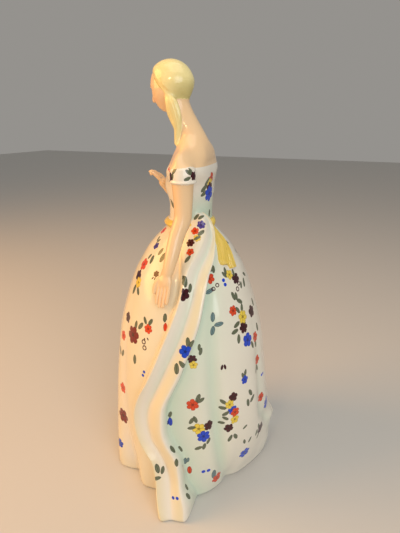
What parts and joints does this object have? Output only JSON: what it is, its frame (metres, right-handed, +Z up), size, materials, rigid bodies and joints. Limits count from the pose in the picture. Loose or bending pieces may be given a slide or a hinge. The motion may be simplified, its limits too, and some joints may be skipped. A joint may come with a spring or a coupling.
{
  "type": "ceramic lady figurine",
  "caption": "Glazed ceramic figurine of a standing lady in a full ball gown with rolled ruffles, one hand raised and one resting on her skirt.",
  "frame": {"origin": "on the flat underside of the gown, below the middle of the waist", "axes": "+Z up, she faces -Y, her left hand is at +X"},
  "size_m": [0.1652, 0.1335, 0.3207],
  "materials": {
    "glaze": "gloss glaze over hand-painted sprigs"
  },
  "bodies": {
    "root": {"figurine": "glaze"}
  },
  "joints": []
}
